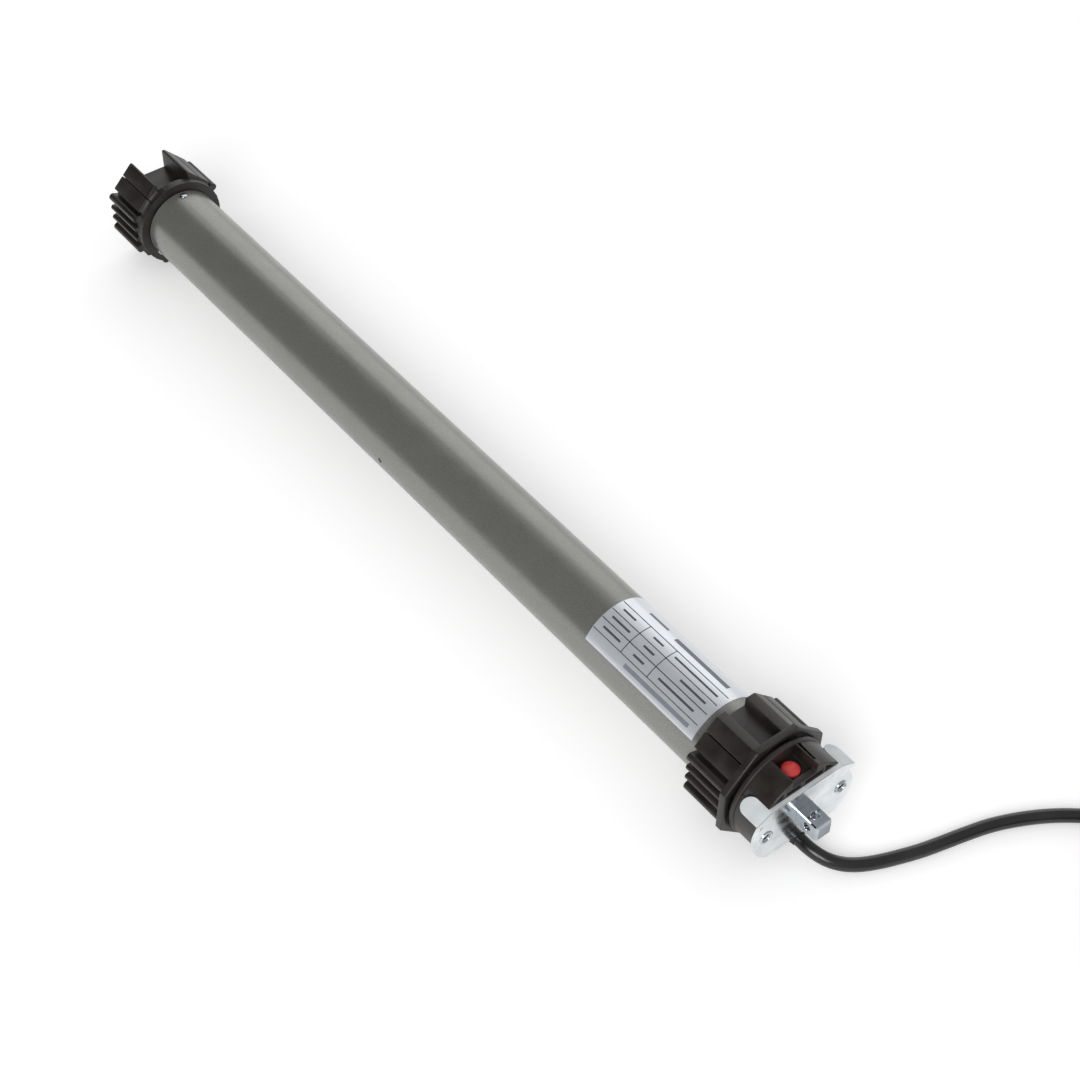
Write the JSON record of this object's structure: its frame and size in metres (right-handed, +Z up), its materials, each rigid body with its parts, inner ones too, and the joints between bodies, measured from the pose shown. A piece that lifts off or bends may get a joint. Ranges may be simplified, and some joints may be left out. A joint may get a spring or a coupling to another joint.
{
  "type": "tubular roller blind motor",
  "caption": "Tubular roller blind motor with an idler crown, drive wheel, square-pin head, set button, planetary gearbox, brake and supply cord.",
  "frame": {"origin": "centre between the two threaded holes of the head's outer plate face, on the motor's axis", "axes": "+X along the motor's axis out of the head, +Z up through the set button"},
  "size_m": [0.7919, 0.2083, 0.063],
  "materials": {
    "tube_grey": "satin",
    "black_plastic": "satin",
    "zinc_plate": "polished",
    "red_button": "gloss",
    "spring_steel": "satin",
    "board_green": "satin",
    "cord_black": "satin",
    "wire_cores": "satin",
    "white_plastic": "satin",
    "board_parts": "satin",
    "bell_alloy": "satin",
    "lamination": "satin",
    "copper_winding": "satin",
    "shaft_steel": "polished",
    "gear_steel": "satin",
    "brake_iron": "satin",
    "friction_disc": "matte"
  },
  "bodies": {
    "motor": {"motor_tube": "tube_grey", "head_neck": "black_plastic", "head_body": "black_plastic", "head_plate": "zinc_plate", "square_pin": "zinc_plate", "button_spring": "spring_steel", "switch_board": "board_green", "cable_gland": "cord_black", "supply_cord": "cord_black", "cord_coil": "cord_black", "cord_cores": "wire_cores", "lead_wires": "wire_cores", "board_carrier": "white_plastic", "control_board": "board_green", "board_parts": "board_parts", "run_capacitor": "white_plastic", "capacitor_cradle": "white_plastic", "head_side_bell": "bell_alloy", "stator_core": "lamination", "stator_windings": "copper_winding", "rotor_bearings": "shaft_steel", "gear_side_bell": "bell_alloy", "brake_armature": "brake_iron", "brake_coil": "brake_iron", "brake_spring": "spring_steel", "gearbox_plate": "bell_alloy", "ring_gear": "gear_steel", "end_bush": "black_plastic", "tube_rivets": "spring_steel"},
    "crown": {"crown": "black_plastic"},
    "button": {"set_button": "red_button"},
    "rotor": {"rotor_core": "lamination", "motor_shaft": "shaft_steel", "sun_gear": "gear_steel", "brake_disc": "friction_disc"},
    "carrier_1": {"carrier_1": "gear_steel"},
    "carrier_2": {"carrier_2": "gear_steel"},
    "output": {"output_shaft": "shaft_steel", "drive_wheel": "black_plastic", "wheel_circlip": "spring_steel"},
    "planet_1a": {"planet_1a": "gear_steel"},
    "planet_1b": {"planet_1b": "gear_steel"},
    "planet_1c": {"planet_1c": "gear_steel"},
    "planet_2a": {"planet_2a": "gear_steel"},
    "planet_2b": {"planet_2b": "gear_steel"},
    "planet_2c": {"planet_2c": "gear_steel"},
    "planet_3a": {"planet_3a": "gear_steel"},
    "planet_3b": {"planet_3b": "gear_steel"},
    "planet_3c": {"planet_3c": "gear_steel"}
  },
  "joints": [
    {"name": "crown_turn", "type": "hinge", "parent": "motor", "child": "crown", "pos_m": [-0.037, 0, 0], "axis": [1, 0, 0], "continuous": true},
    {"name": "button_press", "type": "slide", "parent": "motor", "child": "button", "axis": [0, 0, -1], "range_m": [0, 0.0015], "stiffness_N_per_m": 400, "deforming": ["button_spring"]},
    {"name": "rotor_spin", "type": "hinge", "parent": "motor", "child": "rotor", "pos_m": [-0.366, 0, 0], "axis": [1, 0, 0], "continuous": true},
    {"name": "carrier_1_spin", "type": "hinge", "parent": "motor", "child": "carrier_1", "pos_m": [-0.486, 0, 0], "axis": [1, 0, 0], "continuous": true},
    {"name": "carrier_2_spin", "type": "hinge", "parent": "motor", "child": "carrier_2", "pos_m": [-0.506, 0, 0], "axis": [1, 0, 0], "continuous": true},
    {"name": "drive_spin", "type": "hinge", "parent": "motor", "child": "output", "pos_m": [-0.56, 0, 0], "axis": [1, 0, 0], "continuous": true},
    {"name": "planet_1a_spin", "type": "hinge", "parent": "carrier_1", "child": "planet_1a", "pos_m": [-0.478, 0.0105, 0], "axis": [1, 0, 0], "continuous": true},
    {"name": "planet_1b_spin", "type": "hinge", "parent": "carrier_1", "child": "planet_1b", "pos_m": [-0.478, -0.00525, 0.00909], "axis": [1, 0, 0], "continuous": true},
    {"name": "planet_1c_spin", "type": "hinge", "parent": "carrier_1", "child": "planet_1c", "pos_m": [-0.478, -0.00525, -0.00909], "axis": [1, 0, 0], "continuous": true},
    {"name": "planet_2a_spin", "type": "hinge", "parent": "carrier_2", "child": "planet_2a", "pos_m": [-0.496, 0.0105, 0], "axis": [1, 0, 0], "continuous": true},
    {"name": "planet_2b_spin", "type": "hinge", "parent": "carrier_2", "child": "planet_2b", "pos_m": [-0.496, -0.00525, 0.00909], "axis": [1, 0, 0], "continuous": true},
    {"name": "planet_2c_spin", "type": "hinge", "parent": "carrier_2", "child": "planet_2c", "pos_m": [-0.496, -0.00525, -0.00909], "axis": [1, 0, 0], "continuous": true},
    {"name": "planet_3a_spin", "type": "hinge", "parent": "output", "child": "planet_3a", "pos_m": [-0.518, 0.0105, 0], "axis": [1, 0, 0], "continuous": true},
    {"name": "planet_3b_spin", "type": "hinge", "parent": "output", "child": "planet_3b", "pos_m": [-0.518, -0.00525, 0.00909], "axis": [1, 0, 0], "continuous": true},
    {"name": "planet_3c_spin", "type": "hinge", "parent": "output", "child": "planet_3c", "pos_m": [-0.518, -0.00525, -0.00909], "axis": [1, 0, 0], "continuous": true}
  ],
  "couplings": [
    {"joint": "carrier_1_spin", "follows": "rotor_spin", "ratio": 0.21429},
    {"joint": "carrier_2_spin", "follows": "rotor_spin", "ratio": 0.045918},
    {"joint": "drive_spin", "follows": "rotor_spin", "ratio": 0.0098397},
    {"joint": "planet_1a_spin", "follows": "rotor_spin", "ratio": -0.58929},
    {"joint": "planet_1b_spin", "follows": "rotor_spin", "ratio": -0.58929},
    {"joint": "planet_1c_spin", "follows": "rotor_spin", "ratio": -0.58929},
    {"joint": "planet_2a_spin", "follows": "rotor_spin", "ratio": -0.12628},
    {"joint": "planet_2b_spin", "follows": "rotor_spin", "ratio": -0.12628},
    {"joint": "planet_2c_spin", "follows": "rotor_spin", "ratio": -0.12628},
    {"joint": "planet_3a_spin", "follows": "rotor_spin", "ratio": -0.027059},
    {"joint": "planet_3b_spin", "follows": "rotor_spin", "ratio": -0.027059},
    {"joint": "planet_3c_spin", "follows": "rotor_spin", "ratio": -0.027059}
  ]
}
